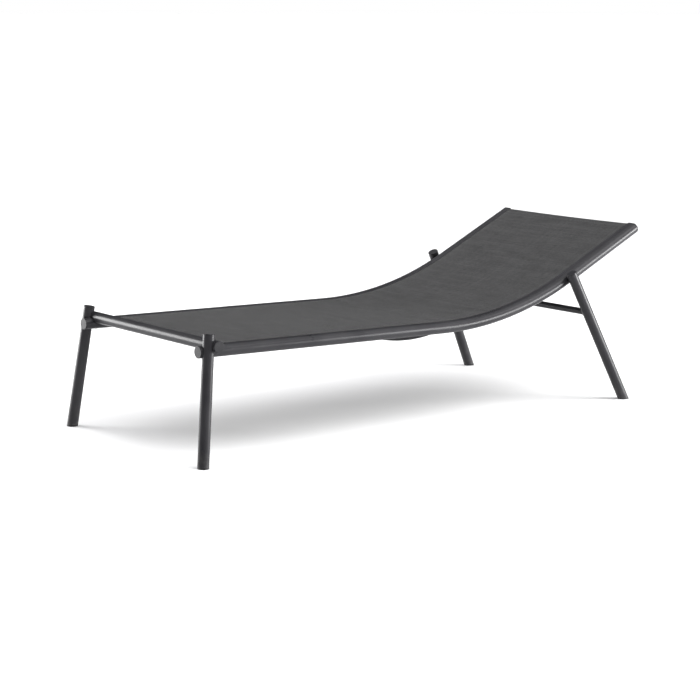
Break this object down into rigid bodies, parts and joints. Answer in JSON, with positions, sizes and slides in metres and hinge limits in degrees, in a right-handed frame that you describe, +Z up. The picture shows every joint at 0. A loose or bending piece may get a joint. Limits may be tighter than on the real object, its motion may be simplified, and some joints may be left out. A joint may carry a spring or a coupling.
{
  "type": "sun lounger",
  "caption": "Free-standing sun lounger: two bent tube side rails with a fixed raised back carry a stretched mesh sling on splayed tube legs.",
  "frame": {"origin": "on the floor below the middle of the lounger's overall box", "axes": "+X towards the head end, +Y towards the right side as the person lying on it sees it, +Z up"},
  "size_m": [2.0537, 0.9074, 0.6512],
  "materials": {
    "frame": "satin",
    "fabric": "matte",
    "cord": "matte",
    "cap": "satin",
    "glide": "matte",
    "steel": "satin"
  },
  "bodies": {
    "root": {"side_rail_left": "frame", "side_rail_right": "frame", "front_cross_tube": "frame", "front_leg_left": "frame", "front_leg_right": "frame", "rear_leg_left": "frame", "rear_leg_right": "frame", "rear_stretcher": "frame", "seat_spreader_bar": "frame", "head_spreader_bar": "frame", "sling": "fabric", "keder_cord_left": "cord", "keder_cord_right": "cord", "rail_foot_cap_left": "cap", "rail_foot_cap_right": "cap", "rail_head_cap_left": "cap", "rail_head_cap_right": "cap", "cross_tube_cap_left": "cap", "cross_tube_cap_right": "cap", "front_leg_cap_left": "cap", "front_leg_cap_right": "cap", "rear_leg_cap_left": "cap", "rear_leg_cap_right": "cap", "front_glide_left": "glide", "front_glide_right": "glide", "rear_glide_left": "glide", "rear_glide_right": "glide", "corner_screws": "steel", "rear_leg_screws": "steel", "threaded_inserts": "steel"}
  },
  "joints": []
}
